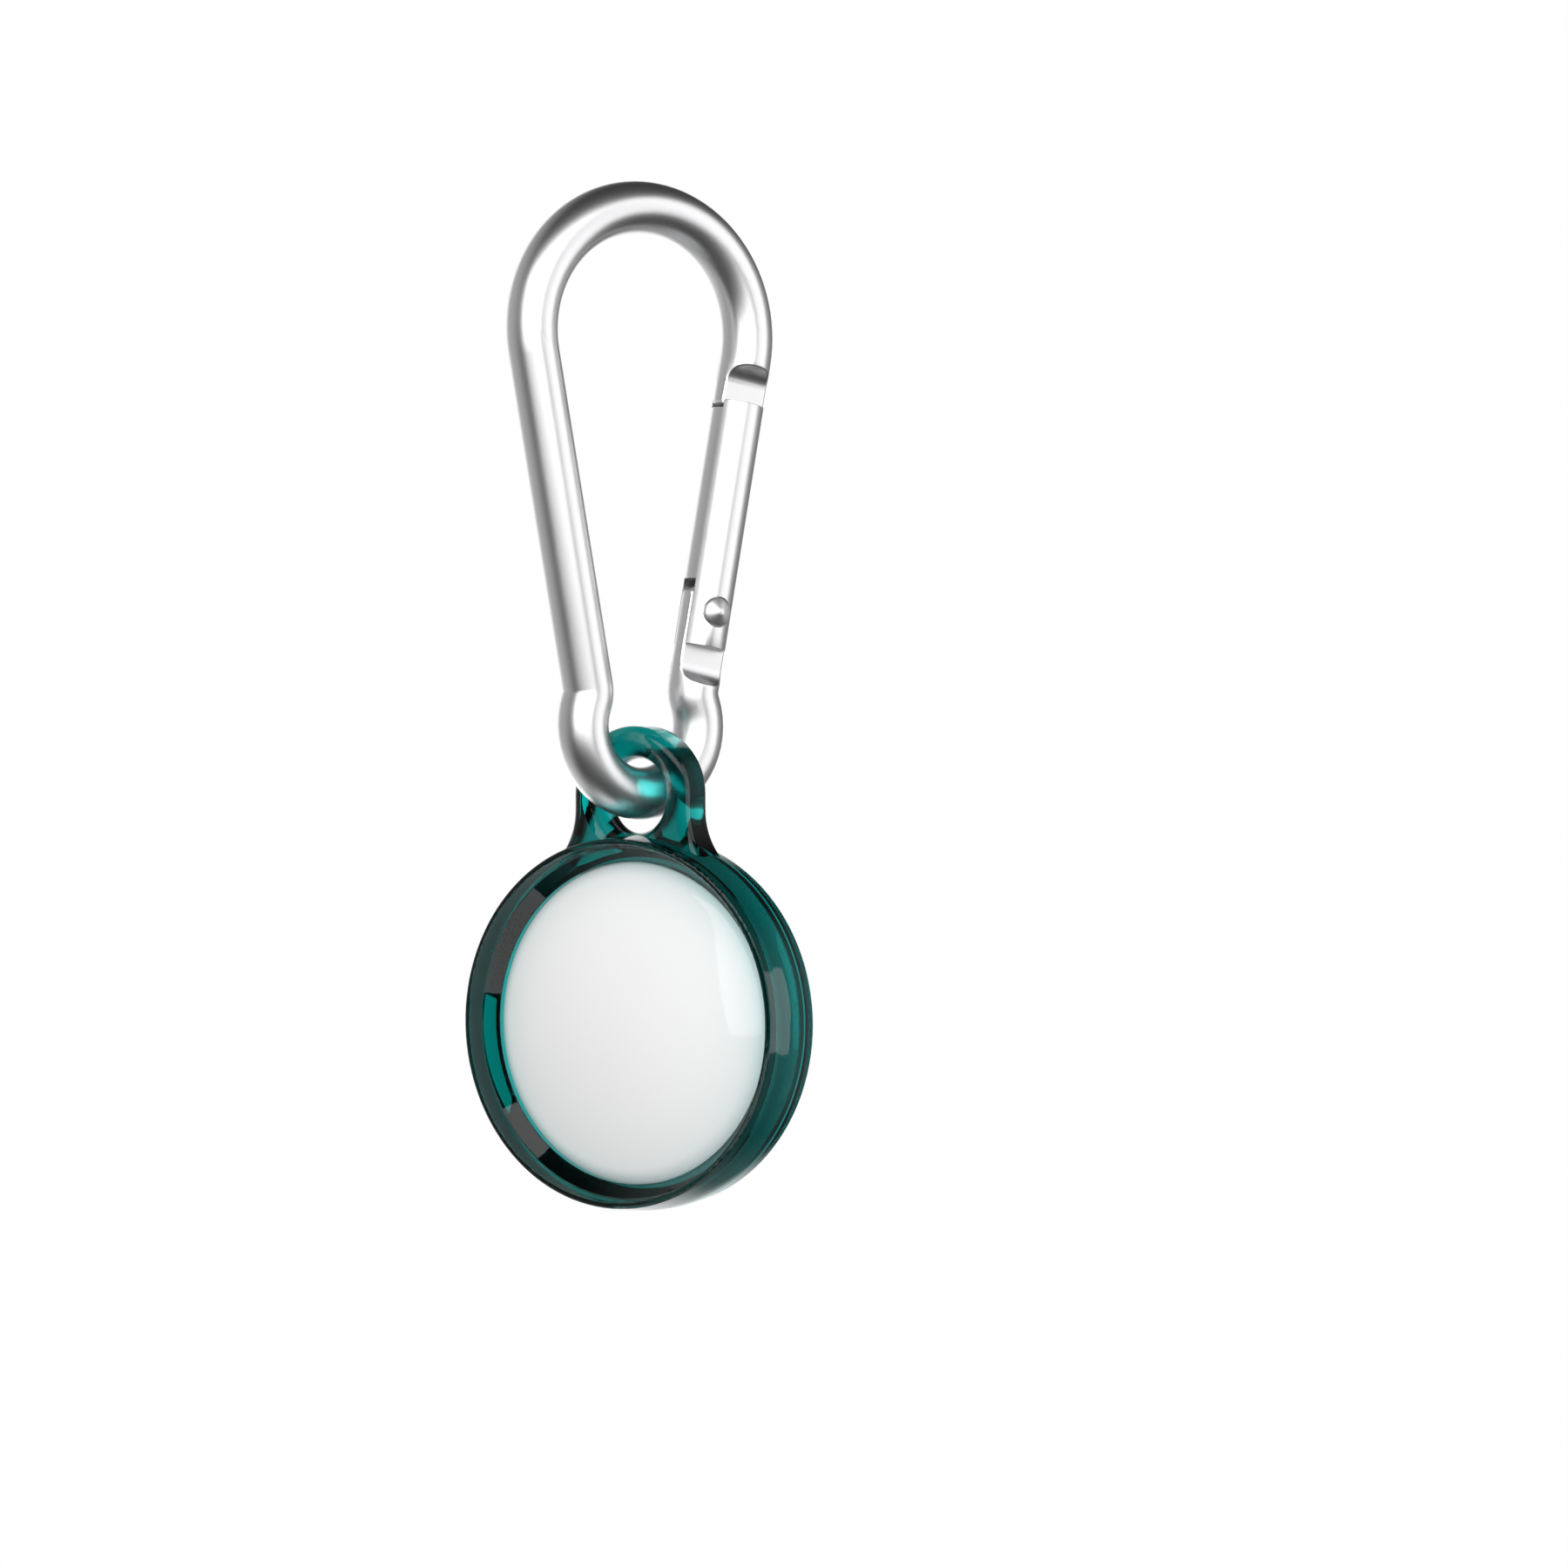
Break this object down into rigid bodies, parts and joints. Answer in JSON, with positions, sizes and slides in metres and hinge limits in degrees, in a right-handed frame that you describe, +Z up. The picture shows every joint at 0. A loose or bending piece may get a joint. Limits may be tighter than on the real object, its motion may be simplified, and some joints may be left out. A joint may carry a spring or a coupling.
{
  "type": "tracker tag holder",
  "caption": "Gourd-shaped round-bar carabiner with a sprung gate, carrying a clear moulded ring case with a loop tab that holds a domed coin-shaped tracker tag.",
  "frame": {"origin": "inside of the carabiner's top loop, where the holder hangs", "axes": "the carabiner lies in the XZ plane with its gate on the +X side; +Z points up, and the tag hangs below at its rest angle"},
  "size_m": [0.0286, 0.0346, 0.0968],
  "materials": {
    "bar_aluminium": "satin, bead blasted and clear anodised",
    "rivet_aluminium": "satin",
    "spring_steel": "bright drawn wire",
    "plunger_steel": "turned, black oxide",
    "case_plastic": "clear teal, glossy",
    "tag_white": "glossy white",
    "tray_white": "fine moulded texture",
    "cover_steel": "polished stainless steel",
    "ring_plastic": "moulded",
    "seal_rubber": "matte",
    "cell_steel": "brushed",
    "contact_brass": "plated",
    "board_laminate": "dark solder mask",
    "chip_black": "moulded",
    "cup_steel": "zinc plated",
    "magnet_nickel": "nickel plated",
    "coil_copper": "enamelled wire",
    "antenna_plastic": "moulded"
  },
  "bodies": {
    "carabiner": {"carabiner_body": "bar_aluminium"},
    "gate": {"carabiner_gate": "bar_aluminium", "gate_rivet": "rivet_aluminium", "gate_spring": "spring_steel"},
    "plunger": {"gate_plunger": "plunger_steel"},
    "holder": {"holder_case": "case_plastic", "tag_front_shell": "tag_white", "rear_tray": "tray_white", "cover_seal": "seal_rubber", "coin_cell": "cell_steel", "negative_contacts": "contact_brass", "positive_contacts": "contact_brass", "circuit_board": "board_laminate", "board_chips": "chip_black", "magnet_cup": "cup_steel", "speaker_magnet": "magnet_nickel", "voice_coil": "coil_copper", "antenna_frame": "antenna_plastic"},
    "cover": {"battery_cover": "cover_steel", "cover_ring": "ring_plastic"}
  },
  "joints": [
    {"name": "gate_hinge", "type": "hinge", "parent": "carabiner", "child": "gate", "pos_m": [0.00719, 0, -0.03558], "axis": [0, -1, 0], "range_deg": [0, 40], "stiffness_Nm_per_rad": 0.001, "springref_deg": -22.92},
    {"name": "plunger_slide", "type": "slide", "parent": "gate", "child": "plunger", "axis": [0.1849, 0, 0.9828], "range_m": [0, 0.00034907], "deforming": ["gate_spring"]},
    {"name": "case_swing", "type": "hinge", "parent": "carabiner", "child": "holder", "pos_m": [0, 0, -0.0529], "axis": [-0.9135, -0.4067, 0], "range_deg": [-65, 65]},
    {"name": "cover_twist", "type": "hinge", "parent": "holder", "child": "cover", "pos_m": [0, 0, -0.07425], "axis": [0.9135, 0.4067, 0], "range_deg": [0, 18]}
  ],
  "couplings": [
    {"joint": "gate_hinge", "follows": "plunger_slide", "rad_per_m": 2000}
  ]
}
